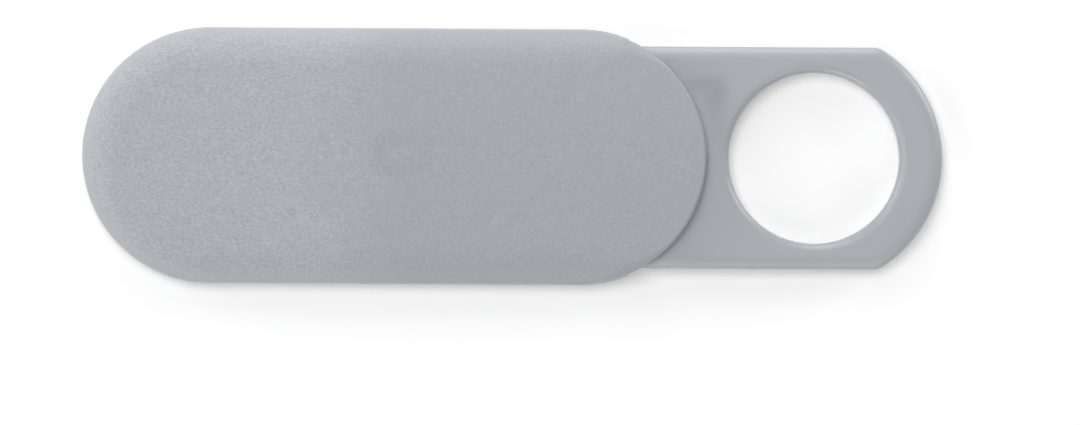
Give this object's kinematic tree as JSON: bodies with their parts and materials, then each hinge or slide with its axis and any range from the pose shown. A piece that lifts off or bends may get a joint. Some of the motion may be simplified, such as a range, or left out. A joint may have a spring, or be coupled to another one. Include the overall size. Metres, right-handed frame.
{
  "type": "webcam cover slider",
  "caption": "Slim sliding webcam cover: a moulded cover with round ends slides along an adhesive-backed base plate to open or close its round lens window.",
  "frame": {"origin": "middle of the closed slider's outline, on its back face", "axes": "+X along the slide towards the lens window, +Y across it, +Z out of the back face towards the cover's top"},
  "size_m": [0.0503, 0.015, 0.0029],
  "materials": {
    "cover_plastic": "fine spark-eroded grain, matt",
    "base_plastic": "smooth satin",
    "foam_tape": "closed-cell foam with a tacky face",
    "liner_paper": "glazed release paper"
  },
  "bodies": {
    "base": {"base_plate": "base_plastic", "adhesive_tape": "foam_tape", "release_liner": "liner_paper"},
    "cover": {"slider_cover": "cover_plastic"}
  },
  "joints": [
    {"name": "cover_slide", "type": "slide", "parent": "base", "child": "cover", "axis": [1, 0, 0], "range_m": [0, 0.0137]}
  ]
}
